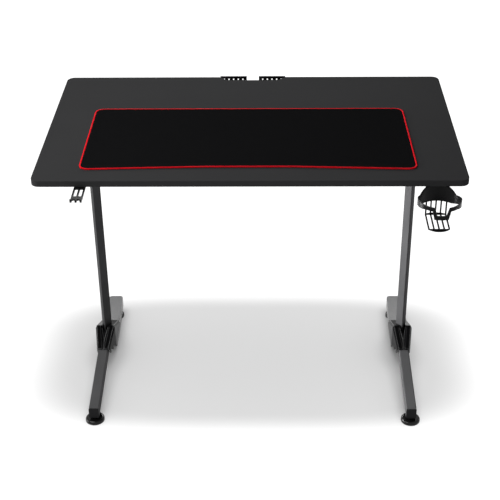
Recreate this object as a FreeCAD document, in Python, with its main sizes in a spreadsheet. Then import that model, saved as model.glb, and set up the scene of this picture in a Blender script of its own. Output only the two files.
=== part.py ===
import FreeCAD, Part
import os
import re
import Sketcher
from FreeCAD import Rotation, Vector

# Driving dimensions in millimetres, by the piece that carries them
SIZES = {
    # Desktop
    "board_width": 1000,
    "board_depth": 600,
    "board_thickness": 15,
    "board_height": 750,
    "board_corner_radius": 20,
    "board_arris_radius": 1.5,
    "recess_mouth_width": 176,
    "recess_floor_width": 138,
    "recess_depth": 21,
    "recess_corner_radius": 6,
    # Mouse mat
    "mat_width": 776,
    "mat_depth": 326,
    "mat_thickness": 3,
    "mat_back": 82,
    "mat_shift": 6,
    "mat_waist_width": 210,
    "mat_waist_depth": 11.5,
    "mat_corner_radius": 16,
    "mat_binding_width": 4,
    # Columns and their plates
    "leg_inset": 83,
    "column_setback": 85,
    "column_depth": 84,
    "column_width": 27,
    "column_wall": 1.5,
    "column_nose_radius": 2,
    "column_side_radius": 4,
    "plate_width": 50,
    "plate_length": 110,
    "plate_thickness": 4,
    "plate_corner_radius": 6,
    "plate_bolt_across": 20,
    "plate_bolt_along": 84,
    # Top rails
    "rail_web_width": 40,
    "rail_height": 20,
    "rail_flange_width": 15,
    "rail_gauge": 2,
    "rail_front_inset": 85,
    "rail_rear_inset": 45,
    "rail_screw_inset": 30,
    # Cross beams
    "beam_depth": 40,
    "beam_height": 18,
    "beam_wall": 1.5,
    "beam_end_block": 8,
    "beam_front_reach": 145,
    "beam_tray_gap": 29,
    "beam_bolt_spacing": 20,
    # Front feet and end caps
    "bar_reach": 330,
    "bar_width": 26.5,
    "bar_height": 29,
    "bar_wall": 1.5,
    "bar_edge_radius": 2.5,
    "bar_nose_height": 44,
    "bar_rise": 40,
    "bar_run": 300,
    "cap_thickness": 3,
    "cap_plug_length": 14,
    "cap_plug_clearance": 0.1,
    # Rear feet
    "foot_lead": 13,
    "foot_reach": 205,
    "foot_level_run": 65,
    "foot_base": 17,
    "foot_height": 54,
    "foot_tail_height": 46,
    "foot_width": 50,
    "foot_tail_width": 40,
    "foot_corner_radius": 10,
    "foot_wall": 2,
    # Foot pads, stems and weld nuts
    "pad_front_reach": 318,
    "pad_rear_reach": 167,
    "pad_radius": 25,
    "pad_height": 10,
    "pad_dome_radius": 6,
    "pad_sole_radius": 1,
    "pad_collar_radius": 7.5,
    "pad_collar_height": 4,
    "stem_radius": 4,
    "stem_seat": 5,
    "stem_top": 40,
    "stem_chamfer": 1,
    "nut_radius": 8,
    "nut_height": 12,
    "thread_clearance": 0.15,
    "nut_seat_clearance": 0.05,
    # Boots
    "boot_toe_run": 107,
    "boot_peak_run": 37,
    "boot_shoulder_run": 55,
    "boot_tail_run": 80,
    "boot_peak_height": 108,
    "boot_shoulder_height": 62,
    "boot_tail_height": 45,
    "boot_base_height": 15,
    "boot_toe_width": 28.5,
    "boot_peak_width": 46.8,
    "boot_side_width": 54,
    "boot_flare_width": 33.5,
    "boot_facet_drop": 9,
    "boot_wall": 3.2,
    "boot_clearance": 0.5,
    "boot_seam": 0.8,
    "boot_slit": 1.8,
    "boot_slit_flare": 5,
    "boot_slit_flare_run": 8,
    "boot_notch_run": 38,
    "boot_notch_width": 17,
    "boot_bevel_width": 26,
    "boot_bevel_toe_width": 7,
    "boot_bevel_share": 0.5,
    "boot_lip_height": 72,
    "boot_heel_run": 38,
    "boot_heel_height": 37,
    "boot_hem_height": 41,
    "boot_hem_rise": 18,
    "boot_tooth_length": 4,
    "boot_tooth_rise": 9,
    # Cup holder
    "cup_inset": 73,
    "cup_standoff": 43,
    "cup_radius": 49.5,
    "cup_wall": 3,
    "cup_rim_drop": 3,
    "cup_saddle_run": 27,
    "cup_saddle_drop": 9.5,
    "cup_side_height": 20,
    "cup_front_height": 12,
    "cup_front_half": 35,
    "cup_rear_height": 35,
    "cup_rear_run": 34,
    "cup_notch_mouth": 32,
    "cup_notch_floor": 20,
    "cup_notch_depth": 22,
    "cup_dip_mouth": 41,
    "cup_dip_floor": 32,
    "cup_dip_depth": 32,
    "cup_post_pitch": 11.5,
    "cup_post_width": 3.4,
    "cup_floor_drop": 70,
    "cup_floor_thickness": 3,
    "cup_floor_lead": 36,
    "cup_floor_nose_radius": 32,
    "cup_floor_front_rim": 10,
    "cup_floor_rear_rim": 7,
    "cup_flange_thickness": 4,
    "cup_flange_width": 54,
    "cup_flange_length": 56,
    "cup_flange_start": 42,
    "cup_flange_radius": 6,
    "cup_rib_gap": 1.5,
    "cup_rib_thickness": 3,
    "cup_rib_run": 36,
    "cup_rib_drop": 28,
    "cup_screw_spacing": 36,
    "cup_screw_inset": 40,
    # Headphone hook
    "hook_inset": 114,
    "hook_width": 26.5,
    "hook_thickness": 4,
    "hook_root_length": 55,
    "hook_root_reach": 7,
    "hook_window_length": 37,
    "hook_bar_depth": 13.5,
    "hook_prong_length": 12.7,
    "hook_rib_width": 4,
    "hook_lip_rise": 5,
    "hook_lip_thickness": 4,
    "hook_gap_radius": 3.5,
    "hook_window_radius": 1.5,
    "hook_bend_radius": 4,
    "hook_screw_inset": 15,
    "hook_screw_spacing": 24,
    # Cable trays
    "tray_gap": 33,
    "left_tray_width": 72,
    "right_tray_width": 72,
    "tray_reach": 35,
    "tray_thickness": 3,
    "tray_flange_length": 45,
    "tray_drop": 10,
    "tray_fence_height": 3,
    "tray_slot_pitch": 12.7,
    "tray_slot_width": 3.4,
    "tray_slot_foot": 2,
    "tray_slot_height": 4.4,
    "tray_screw_margin": 12,
    # Fasteners
    "screw_head_radius": 4,
    "screw_head_height": 3,
    "screw_radius": 2,
    "screw_bite": 10,
    "screw_clearance": 0.3,
    "pilot_clearance": 0.05,
    "pilot_spare": 1,
    "bolt_head_radius": 5,
    "bolt_head_height": 4,
    "bolt_radius": 3,
    "bolt_clearance": 0.25,
    "bolt_spare": 5,
    # Overrun of every cutting tool past the face that it cuts
    "overrun": 5,
}

document = FreeCAD.newDocument("GamingDesk")
sheet = document.addObject("Spreadsheet::Sheet", "Sizes")
for row, (alias, size) in enumerate(SIZES.items(), start=1):
    sheet.set(f"A{row}", alias)
    sheet.set(f"B{row}", str(size))
    sheet.setAlias(f"B{row}", alias)
document.recompute()

# Heights and places that several pieces share, as formulas in the sheet's sizes
# Along Y they count from the middle of the desktop, and MIDDLE is where that lies in the desk's own frame
MIDDLE = "(cup_standoff + cup_radius - tray_reach) / 2"
UNDERSIDE = "(board_height - board_thickness)"
FRONT_EDGE = "(-board_depth / 2)"
REAR_EDGE = "(board_depth / 2)"
RECESS_EDGE = "(board_depth / 2 - recess_depth)"
LEG_X = "(board_width / 2 - leg_inset)"
RAIL_BOTTOM = f"({UNDERSIDE} - rail_height)"
PLATE_BOTTOM = f"({RAIL_BOTTOM} - plate_thickness)"
RAIL_FRONT = f"({FRONT_EDGE} + rail_front_inset)"
RAIL_REAR = f"({REAR_EDGE} - rail_rear_inset)"
BAR_FRONT = "(column_setback - bar_reach)"
NUT_BOTTOM = "(pad_height + pad_collar_height)"
PAD_PLACES = {"front": "(column_setback - pad_front_reach)", "rear": "(column_setback + pad_rear_reach)"}
BEAM_PLACES = {
    "front": "(column_setback - beam_front_reach)",
    "rear": f"({RECESS_EDGE} - tray_flange_length - beam_tray_gap - beam_depth / 2)",
}
CUP_X = "(board_width / 2 - cup_inset)"
CUP_Y = f"({FRONT_EDGE} - cup_standoff)"
CUP_TOP = f"({UNDERSIDE} - cup_flange_thickness)"
HOOK_X = "(hook_inset - board_width / 2)"
TRAY_BACK = f"({REAR_EDGE} + tray_reach)"

SLACK_SHARE = 0.01
HEM_TOOTH_SHARES = (0.39, 0.74)
SIDES = {"left": -1, "right": 1}
ALONG_X = Rotation(Vector(0, 1, 0), 90)
AGAINST_X = Rotation(Vector(0, 1, 0), -90)
UPRIGHT = Rotation()

nodes = []


# Links between the sheet and the objects
def linked(formula):
    """The formula with the sheet's name before each size in it."""
    return re.sub(r"[a-z_]+", lambda word: "Sizes." * (word.group() in SIZES) + word.group(), str(formula))


def worth(formula):
    """The formula's present value."""
    value = sheet.evalExpression(linked(formula))
    return float(getattr(value, "Value", value))


def bind(thing, **formulas):
    for name, formula in formulas.items():
        thing.setExpression(name, linked(formula))


def place(thing, x="0", y="0", z="0", turn=UPRIGHT):
    """Put an object at a point that follows the sheet, counted from below the middle of the desktop."""
    thing.Placement.Rotation = turn
    thing.setExpression("Placement.Base.x", linked(x))
    thing.setExpression("Placement.Base.y", linked(f"{y} + {MIDDLE}"))
    thing.setExpression("Placement.Base.z", linked(z))
    return thing


def node(thing, label):
    """Name an object as one of the desk's pieces."""
    thing.Label = label
    nodes.append(thing)
    return thing


# Bodies and their features
def origin_plane(body, role):
    return next(plane for plane in body.Origin.OriginFeatures if plane.Role == role)


def hold(drawing, kind, line, point, formula):
    """Bind one coordinate of a sketch point to a formula, or put the point on the axis where it is zero."""
    if formula == "0":
        axis = -2 if kind == "DistanceX" else -1
        drawing.addConstraint(Sketcher.Constraint("PointOnObject", line, point, axis))
        return
    number = drawing.addConstraint(Sketcher.Constraint(kind, -1, 1, line, point, worth(formula)))
    drawing.setExpression(f"Constraints[{number}]", linked(formula))


def sketch(body, role, *loops, offset="0"):
    """A sketch of closed outlines, each a list of corners given as two formulas."""
    drawing = body.newObject("Sketcher::SketchObject", "Sketch")
    drawing.AttachmentSupport = (origin_plane(body, role), [""])
    drawing.MapMode = "FlatFace"
    drawing.setExpression("AttachmentOffset.Base.z", linked(offset))
    for loop in loops:
        corners = [Vector(worth(across), worth(along), 0) for across, along in loop]
        first = drawing.GeometryCount
        for here, there in zip(corners, corners[1:] + corners[:1]):
            drawing.addGeometry(Part.LineSegment(here, there))
        for step, (across, along) in enumerate(loop):
            following = first + (step + 1) % len(loop)
            drawing.addConstraint(Sketcher.Constraint("Coincident", first + step, 2, following, 1))
            hold(drawing, "DistanceX", first + step, 1, across)
            hold(drawing, "DistanceY", first + step, 1, along)
    return drawing


def ring_sketch(body, role, centres, radius):
    """A sketch of equal circles."""
    drawing = body.newObject("Sketcher::SketchObject", "Sketch")
    drawing.AttachmentSupport = (origin_plane(body, role), [""])
    drawing.MapMode = "FlatFace"
    for across, along in centres:
        centre = Vector(worth(across), worth(along), 0)
        circle = drawing.addGeometry(Part.Circle(centre, Vector(0, 0, 1), worth(radius)))
        hold(drawing, "DistanceX", circle, 3, across)
        hold(drawing, "DistanceY", circle, 3, along)
        number = drawing.addConstraint(Sketcher.Constraint("Radius", circle, worth(radius)))
        drawing.setExpression(f"Constraints[{number}]", linked(radius))
    return drawing


def pad(body, drawing, length, side="One side"):
    feature = body.newObject("PartDesign::Pad", "Pad")
    feature.Profile = drawing
    feature.SideType = side
    bind(feature, Length=length)
    return feature


def block(name, role, loops, length, side="One side", **spot):
    """A body padded from outlines on one of its planes."""
    body = document.addObject("PartDesign::Body", name)
    pad(body, sketch(body, role, *loops), length, side)
    place(body, **spot)
    return body


def spun(name, profile, turn=UPRIGHT, **spot):
    """A body of revolution about its own Z, from a half profile of radius and height."""
    body = document.addObject("PartDesign::Body", name)
    drawing = sketch(body, "XZ_Plane", profile)
    feature = body.newObject("PartDesign::Revolution", "Revolution")
    feature.Profile = drawing
    feature.ReferenceAxis = (drawing, ["V_Axis"])
    feature.Angle = 360
    place(body, turn=turn, **spot)
    return body


def rounded(body, chosen, radius):
    """Round the edges that a test picks by their direction and their middle in the body's frame."""
    document.recompute()
    base = body.Tip
    picked = []
    for number, edge in enumerate(base.Shape.Edges, start=1):
        start = edge.valueAt(edge.FirstParameter)
        end = edge.valueAt(edge.LastParameter)
        if chosen(end - start, (start + end) / 2):
            picked.append(f"Edge{number}")
    feature = body.newObject("PartDesign::Fillet", "Fillet")
    feature.Base = (base, picked)
    bind(feature, Radius=radius)
    return feature


def upright(run, middle):
    return abs(run.x) + abs(run.y) < abs(run.z) * SLACK_SHARE


def corner_test(across=None, along=None):
    """A test for upright edges on given lines, each a formula for the distance from the body's middle."""
    def chosen(run, middle):
        near_x = across is None or abs(abs(middle.x) - worth(across)) < worth("overrun") * SLACK_SHARE
        near_y = along is None or abs(middle.y - worth(along)) < worth("overrun") * SLACK_SHARE
        return upright(run, middle) and near_x and near_y
    return chosen


# Booleans of whole objects
def cylinder(name, radius, height, turn=UPRIGHT, **spot):
    thing = document.addObject("Part::Cylinder", name)
    bind(thing, Radius=radius, Height=height)
    return place(thing, turn=turn, **spot)


def box(name, length, width, height, **spot):
    thing = document.addObject("Part::Box", name)
    bind(thing, Length=length, Width=width, Height=height)
    return place(thing, **spot)


def cut(base, *tools):
    for tool in tools:
        rest = document.addObject("Part::Cut", "Cut")
        rest.Base = base
        rest.Tool = tool
        base = rest
    return base


def joined(kind, *things):
    """The fuse, the common part or the group of several objects."""
    thing = document.addObject(f"Part::{kind}", kind)
    if kind == "Compound":
        thing.Links = list(things)
    else:
        thing.Shapes = list(things)
    return thing


def mirrored(source, middle="0"):
    """The mirror image of an object in an upright plane that faces along X."""
    thing = document.addObject("Part::Mirroring", "Mirror")
    thing.Source = source
    thing.Normal = Vector(1, 0, 0)
    thing.setExpression("Base.x", linked(middle))
    return thing


def pair(source, name):
    """A right-hand piece and its mirror image on the left leg."""
    node(source, f"right_{name}")
    node(mirrored(source), f"left_{name}")


# Fasteners
def screw(x, y, seat, grip):
    """A wood screw driven up through a sheet, given the sheet's lower face and its thickness."""
    tip = f"screw_head_height + {grip} + screw_bite"
    profile = [
        ("0", "0"),
        ("screw_head_radius", "0"),
        ("screw_head_radius", "screw_head_height"),
        ("screw_radius", "screw_head_height"),
        ("screw_radius", f"{tip} - screw_radius"),
        ("0", tip),
    ]
    return spun("Screw", profile, x=x, y=y, z=f"{seat} - screw_head_height")


def bolt(grip, turn=UPRIGHT, **spot):
    """A bolt through a stack as thick as its grip, from the face that the spot names."""
    end = f"{grip} + bolt_spare"
    profile = [
        ("0", "-bolt_head_height"),
        ("bolt_head_radius", "-bolt_head_height"),
        ("bolt_head_radius", "0"),
        ("bolt_radius", "0"),
        ("bolt_radius", end),
        ("0", end),
    ]
    return spun("Bolt", profile, turn=turn, **spot)


def screw_holes(places, seat, grip):
    """Clearance holes for screws through a sheet."""
    return [
        cylinder("Hole", "screw_radius + screw_clearance", f"{grip} + 2 * overrun",
                 x=x, y=y, z=f"{seat} - overrun")
        for x, y in places
    ]


# Places of the fasteners
def rail_screw_places(sign):
    across = "(rail_web_width + rail_flange_width) / 2"
    return [
        (f"{sign} * {LEG_X} {side} {across}", along)
        for side in "+-"
        for along in (f"{RAIL_FRONT} + rail_screw_inset", f"{RAIL_REAR} - rail_screw_inset")
    ]


def plate_bolt_places(sign):
    return [
        (f"{sign} * {LEG_X} {across} plate_bolt_across / 2", f"column_setback {along} plate_bolt_along / 2")
        for across in "+-"
        for along in "+-"
    ]


def cup_screw_places():
    return [(f"{CUP_X} {side} cup_screw_spacing / 2", f"{FRONT_EDGE} + cup_screw_inset") for side in "+-"]


def hook_screw_places():
    near = f"{FRONT_EDGE} + hook_screw_inset"
    return [(HOOK_X, near), (HOOK_X, f"{near} + hook_screw_spacing")]


def tray_screw_places(side):
    sign = SIDES[side]
    along = f"{RECESS_EDGE} - tray_flange_length / 2"
    return [
        (f"{sign} * (tray_gap / 2 + tray_screw_margin)", along),
        (f"{sign} * (tray_gap / 2 + {side}_tray_width - tray_screw_margin)", along),
    ]


# Desktop, with blind pilot holes from below
def make_desktop():
    loop = [
        ("-board_width / 2", "-board_depth / 2"),
        ("board_width / 2", "-board_depth / 2"),
        ("board_width / 2", "board_depth / 2"),
        ("recess_mouth_width / 2", "board_depth / 2"),
        ("recess_floor_width / 2", RECESS_EDGE),
        ("-recess_floor_width / 2", RECESS_EDGE),
        ("-recess_mouth_width / 2", "board_depth / 2"),
        ("-board_width / 2", "board_depth / 2"),
    ]
    body = block("Desktop", "XY_Plane", [loop], "board_thickness", z=UNDERSIDE)
    rounded(body, corner_test(across="board_width / 2"), "board_corner_radius")
    rounded(body, corner_test(across="recess_floor_width / 2"), "recess_corner_radius")
    rounded(body, corner_test(across="recess_mouth_width / 2"), "recess_corner_radius")
    level = worth("board_thickness")
    rounded(body, lambda run, middle: abs(middle.z - level) < level * SLACK_SHARE, "board_arris_radius")
    places = rail_screw_places(-1) + rail_screw_places(1) + cup_screw_places() + hook_screw_places()
    places += tray_screw_places("left") + tray_screw_places("right")
    drawing = ring_sketch(body, "XY_Plane", places, "screw_radius + pilot_clearance")
    pilots = body.newObject("PartDesign::Pocket", "PilotHoles")
    pilots.Profile = drawing
    pilots.Reversed = True
    bind(pilots, Length="screw_bite + pilot_spare")
    node(body, "desktop")


# Mouse mat and its stitched edge
def mat_blank(name, inset):
    half = f"(mat_width / 2 - {inset})"
    front = f"(mat_back - mat_depth + {inset})"
    loop = [
        (f"-{half}", f"mat_back - {inset}"),
        (f"-{half}", front),
        ("-mat_waist_width / 2", f"{front} + mat_waist_depth"),
        ("mat_waist_width / 2", f"{front} + mat_waist_depth"),
        (half, front),
        (half, f"mat_back - {inset}"),
    ]
    body = block(name, "XY_Plane", [loop], "mat_thickness", x="-mat_shift", z="board_height")
    rounded(body, corner_test(across=half), f"mat_corner_radius - {inset}")
    return body


def make_mat():
    cloth = node(mat_blank("MatCloth", "mat_binding_width"), "mouse_mat")
    node(cut(mat_blank("MatOutline", "0"), cloth), "mat_binding")


# Columns, each a diamond tube
def column_prism(name, grow, bottom, top):
    """A diamond prism whose faces lie a given distance outside the column's."""
    reach = f"({grow} * sqrt(column_depth ^ 2 + column_width ^ 2))"
    deep = f"(column_depth / 2 + {reach} / column_width)"
    wide = f"(column_width / 2 + {reach} / column_depth)"
    loop = [(f"-{wide}", "0"), ("0", f"-{deep}"), (wide, "0"), ("0", deep)]
    return block(name, "XY_Plane", [loop], f"{top} - {bottom}", x=LEG_X, y="column_setback", z=bottom)


def make_columns():
    outer = column_prism("ColumnOutside", "0", "foot_height", PLATE_BOTTOM)
    rounded(outer, corner_test(across="0"), "column_nose_radius")
    rounded(outer, corner_test(across="column_width / 2"), "column_side_radius")
    inner = column_prism("ColumnInside", "-column_wall", "foot_height - overrun",
                         f"{PLATE_BOTTOM} + overrun")
    pair(cut(outer, inner), "column")

    half = "plate_width / 2"
    reach = "plate_length / 2"
    loop = [(f"-{half}", f"-{reach}"), (half, f"-{reach}"), (half, reach), (f"-{half}", reach)]
    plate = block("ColumnPlate", "XY_Plane", [loop], "plate_thickness",
                  x=LEG_X, y="column_setback", z=PLATE_BOTTOM)
    rounded(plate, upright, "plate_corner_radius")
    holes = [
        cylinder("Hole", "bolt_radius + bolt_clearance", "plate_thickness + 2 * overrun",
                 x=x, y=y, z=f"{PLATE_BOTTOM} - overrun")
        for x, y in plate_bolt_places(1)
    ]
    pair(cut(plate, *holes), "column_plate")


# Top rails, pressed hat-section channels
def make_rails():
    half = "rail_web_width / 2"
    wide = "(rail_web_width / 2 + rail_flange_width)"
    inside = "(rail_web_width / 2 - rail_gauge)"
    under = "(rail_height - rail_gauge)"
    right = [
        (half, "0"),
        (half, under),
        (wide, under),
        (wide, "rail_height"),
        (inside, "rail_height"),
        (inside, "rail_gauge"),
    ]
    left = [(f"-{across}", along) for across, along in reversed(right)]
    rail = block("TopRail", "XZ_Plane", [right + left], f"{RAIL_REAR} - {RAIL_FRONT}",
                 x=LEG_X, y=RAIL_REAR, z=RAIL_BOTTOM)
    holes = screw_holes(rail_screw_places(1), f"{UNDERSIDE} - rail_gauge", "rail_gauge")
    holes += [
        cylinder("Hole", "bolt_radius + bolt_clearance", "rail_gauge + 2 * overrun",
                 x=x, y=y, z=f"{RAIL_BOTTOM} - overrun")
        for x, y in plate_bolt_places(1)
    ]
    holes += [
        cylinder("Hole", "bolt_radius + bolt_clearance", "rail_gauge + 2 * overrun", turn=AGAINST_X,
                 x=f"{LEG_X} - {inside} + overrun", y=y, z=z)
        for y, z in beam_bolt_places()
    ]
    pair(cut(rail, *holes), "top_rail")


# Cross beams, closed tubes with threaded end blocks
def beam_bolt_places():
    level = f"{UNDERSIDE} - rail_gauge - beam_height / 2"
    return [
        (f"{beam} {side} beam_bolt_spacing / 2", level)
        for beam in BEAM_PLACES.values()
        for side in "+-"
    ]


def make_beams():
    span = f"({LEG_X} - rail_web_width / 2)"
    bottom = f"({UNDERSIDE} - rail_gauge - beam_height)"
    for name, middle in BEAM_PLACES.items():
        outer = box("BeamOutside", f"2 * {span}", "beam_depth", "beam_height",
                    x=f"-{span}", y=f"{middle} - beam_depth / 2", z=bottom)
        inner = box("BeamInside", f"2 * ({span} - beam_end_block)", "beam_depth - 2 * beam_wall",
                    "beam_height - 2 * beam_wall", x=f"beam_end_block - {span}",
                    y=f"{middle} - beam_depth / 2 + beam_wall", z=f"{bottom} + beam_wall")
        holes = [
            cylinder("Hole", "bolt_radius + pilot_clearance", f"2 * ({span} + overrun)", turn=ALONG_X,
                     x=f"-{span} - overrun", y=f"{middle} {side} beam_bolt_spacing / 2",
                     z=f"{bottom} + beam_height / 2")
            for side in "+-"
        ]
        node(cut(outer, inner, *holes), f"{name}_cross_beam")


# Front feet, sloping tubes coped on the columns, and the caps in their ends
def bar_top(along):
    return f"(bar_nose_height + ({along} - {BAR_FRONT}) * bar_rise / bar_run)"


def bar_prism(name, start, end, inset):
    loop = [
        (start, f"{bar_top(start)} - bar_height + {inset}"),
        (start, f"{bar_top(start)} - {inset}"),
        (end, f"{bar_top(end)} - {inset}"),
        (end, f"{bar_top(end)} - bar_height + {inset}"),
    ]
    return block(name, "YZ_Plane", [loop], f"bar_width - 2 * ({inset})", "Symmetric", x=LEG_X)


def lengthwise(run, middle):
    return abs(run.y) > abs(run.x) + abs(run.z)


def nut_hole(along):
    return cylinder("NutHole", "nut_radius + nut_seat_clearance", "nut_height",
                    x=LEG_X, y=along, z=NUT_BOTTOM)


def make_front_feet():
    start = f"({BAR_FRONT} + cap_thickness)"
    end = "(column_setback - column_width / 2)"
    outer = bar_prism("BarOutside", start, end, "0")
    rounded(outer, lengthwise, "bar_edge_radius")
    inner = bar_prism("BarInside", BAR_FRONT, f"({end} + overrun)", "bar_wall")
    cope = column_prism("Cope", "0", "foot_height", "boot_peak_height")
    pair(cut(outer, inner, cope, nut_hole(PAD_PLACES["front"])), "front_foot")

    plate = bar_prism("CapPlate", BAR_FRONT, start, "0")
    rounded(plate, lengthwise, "bar_edge_radius")
    plug = bar_prism("CapPlug", start, f"({start} + cap_plug_length)", "(bar_wall + cap_plug_clearance)")
    cavity = bar_prism("CapCavity", start, f"({start} + cap_plug_length + overrun)",
                       "(2 * bar_wall + cap_plug_clearance)")
    spare = cylinder("StemRoom", "nut_radius + boot_clearance", "bar_nose_height",
                     x=LEG_X, y=PAD_PLACES["front"])
    pair(cut(joined("MultiFuse", plate, plug), cavity, spare), "front_end_cap")


# Rear feet, tapered in side view and in plan
def foot_wedge(name, inset, lead):
    """The rear foot's outside moved in by an inset, with its front end at a given place."""
    tail = f"(column_setback + foot_reach - {inset})"
    level = "(column_setback + foot_level_run)"
    side = [
        (lead, f"foot_base + {inset}"),
        (tail, f"foot_base + {inset}"),
        (tail, f"foot_tail_height - {inset}"),
        (level, f"foot_height - {inset}"),
        (lead, f"foot_height - {inset}"),
    ]
    half = f"(foot_width / 2 - {inset})"
    narrow = f"(foot_tail_width / 2 - {inset})"
    plan = [(half, lead), (half, level), (narrow, tail)]
    plan += [(f"-{across}", along) for across, along in reversed(plan)]
    upper = block(f"{name}Plan", "XY_Plane", [plan], "foot_height + overrun", x=LEG_X)
    rounded(upper, corner_test(across=narrow, along=tail), f"foot_corner_radius - {inset}")
    profile = block(f"{name}Side", "YZ_Plane", [side], "foot_width", "Symmetric", x=LEG_X)
    return joined("MultiCommon", profile, upper)


def make_rear_feet():
    lead = "(column_setback - foot_lead)"
    outer = foot_wedge("FootOutside", "0", lead)
    inner = foot_wedge("FootInside", "foot_wall", f"({lead} - overrun)")
    pair(cut(outer, inner, nut_hole(PAD_PLACES["rear"])), "rear_foot")
    return outer


# Foot pads, their stems and the weld nuts that take them
def make_pads():
    pad_profile = [
        ("0", "0"),
        ("pad_radius", "0"),
        ("pad_radius", "pad_height"),
        ("pad_collar_radius", "pad_height"),
        ("pad_collar_radius", NUT_BOTTOM),
        ("stem_radius + pilot_clearance", NUT_BOTTOM),
        ("stem_radius + pilot_clearance", "stem_seat"),
        ("0", "stem_seat"),
    ]
    stem_profile = [
        ("0", "0"),
        ("stem_radius", "0"),
        ("stem_radius", "stem_top - stem_seat - stem_chamfer"),
        ("stem_radius - stem_chamfer", "stem_top - stem_seat"),
        ("0", "stem_top - stem_seat"),
    ]
    nut_profile = [
        ("stem_radius + thread_clearance", "0"),
        ("nut_radius", "0"),
        ("nut_radius", "nut_height"),
        ("stem_radius + thread_clearance", "nut_height"),
    ]
    nuts = []
    for end, along in PAD_PLACES.items():
        for side, sign in SIDES.items():
            across = f"{sign} * {LEG_X}"
            disc = spun("Pad", pad_profile, x=across, y=along)
            rim = worth("pad_radius")
            for level, radius in (("pad_height", "pad_dome_radius"), ("0", "pad_sole_radius")):
                rounded(disc, rim_test(rim, worth(level)), radius)
            node(disc, f"{end}_{side}_foot_pad")
            node(spun("Stem", stem_profile, x=across, y=along, z="stem_seat"), f"{end}_{side}_foot_stem")
            nuts.append(spun("Nut", nut_profile, x=across, y=along, z=NUT_BOTTOM))
    node(joined("Compound", *nuts), "foot_nuts")


def rim_test(radius, level):
    """A test for the closed edge of a given radius and height on a body of revolution."""
    def chosen(run, middle):
        closed = run.Length < radius * SLACK_SHARE
        near = abs((middle.x ** 2 + middle.y ** 2) ** 0.5 - radius) < radius * SLACK_SHARE
        return closed and near and abs(middle.z - level) < radius * SLACK_SHARE
    return chosen


# Boots, two faceted half shells round the foot of each column
BOOT_TOE_TOP = f"({bar_top('(column_setback - boot_toe_run)')} + boot_wall + boot_clearance)"


def boot_stations(inset):
    """Sections of the half shell along Y: place, top, and half widths at its top and at its side."""
    toe = f"(column_setback - boot_toe_run + {inset})"
    tail = f"(column_setback + boot_tail_run - {inset})"
    full = ("boot_peak_width / 2", "boot_side_width / 2")
    return [
        (toe, BOOT_TOE_TOP, "boot_toe_width / 2", "boot_flare_width / 2"),
        ("(column_setback - boot_peak_run)", "boot_peak_height", *full),
        ("(column_setback + boot_shoulder_run)", "boot_shoulder_height", *full),
        (tail, "boot_tail_height", *full),
    ]


def boot_loft(name, inset, seam):
    body = document.addObject("PartDesign::Body", name)
    drawings = []
    for along, top, crest, side in boot_stations(inset):
        bottom = f"boot_base_height - {inset}"
        loop = [
            (seam, f"{top} - {inset}"),
            (f"{crest} - {inset}", f"{top} - {inset}"),
            (f"{side} - {inset}", f"{top} - boot_facet_drop - {inset}"),
            (f"{side} - {inset}", bottom),
            (seam, bottom),
        ]
        drawings.append(sketch(body, "XZ_Plane", loop, offset=f"-{along}"))
    loft = body.newObject("PartDesign::AdditiveLoft", "Loft")
    loft.Profile = drawings[0]
    loft.Sections = drawings[1:]
    loft.Ruled = True
    place(body, x=LEG_X)
    return body


def boot_hem():
    """What is cut away below the shell's lower edge, which has a row of teeth towards the front."""
    heel = "(column_setback - boot_heel_run)"
    toe = "(column_setback - boot_toe_run)"
    tail = "column_setback + boot_tail_run + overrun"
    teeth = []
    for share in HEM_TOOTH_SHARES:
        along = f"{heel} * {1 - share} + {toe} * {share}"
        height = f"boot_heel_height + boot_hem_rise * {share}"
        teeth.append((f"{along} + boot_tooth_length", f"{height} + boot_tooth_rise"))
        teeth.append((along, height))
    front = f"{toe} - overrun"
    loop = [(tail, "boot_hem_height"), (heel, "boot_heel_height"), *teeth, (toe, "boot_lip_height")]
    loop += [(front, "boot_lip_height"), (front, "boot_base_height - overrun")]
    loop.append((tail, "boot_base_height - overrun"))
    return block("Hem", "YZ_Plane", [loop], "2 * boot_side_width", "Symmetric", x=LEG_X)


def boot_notch():
    """The gap between the two halves: a slit that opens to a V at the column."""
    toe = "(column_setback - boot_toe_run)"
    peak = "(column_setback - boot_peak_run)"
    right = [
        ("boot_slit_flare / 2", f"{toe} - overrun"),
        ("boot_slit / 2", f"{toe} + boot_slit_flare_run"),
        ("boot_slit / 2", f"{peak} - boot_notch_run"),
        ("boot_notch_width / 2", peak),
        ("boot_notch_width / 2", "column_setback"),
    ]
    left = [(f"-{across}", along) for across, along in reversed(right)]
    return block("Notch", "XY_Plane", [right + left], "2 * boot_peak_height", x=LEG_X)


def boot_bevel():
    """The slanted rims of that gap, as a groove of V section that widens from the toe to the peak."""
    run = "(boot_toe_run - boot_peak_run)"
    rise = f"((boot_peak_height - {BOOT_TOE_TOP}) / {run})"
    spread = f"((boot_bevel_width - boot_bevel_toe_width) / 2 / {run})"
    body = document.addObject("PartDesign::Body", "Bevel")
    drawings = []
    for along in ("(-overrun)", f"({run} + overrun)"):
        top = f"({BOOT_TOE_TOP} + {along} * {rise})"
        half = f"(boot_bevel_toe_width / 2 + {along} * {spread})"
        wide = f"({half} + overrun)"
        loop = [
            (f"-{wide}", f"{top} + overrun * boot_bevel_share"),
            ("0", f"{top} - {half} * boot_bevel_share"),
            (wide, f"{top} + overrun * boot_bevel_share"),
        ]
        drawings.append(sketch(body, "XZ_Plane", loop, offset=f"boot_toe_run - column_setback - {along}"))
    loft = body.newObject("PartDesign::AdditiveLoft", "Loft")
    loft.Profile = drawings[0]
    loft.Sections = drawings[1:]
    loft.Ruled = True
    place(body, x=LEG_X)
    return body


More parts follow.
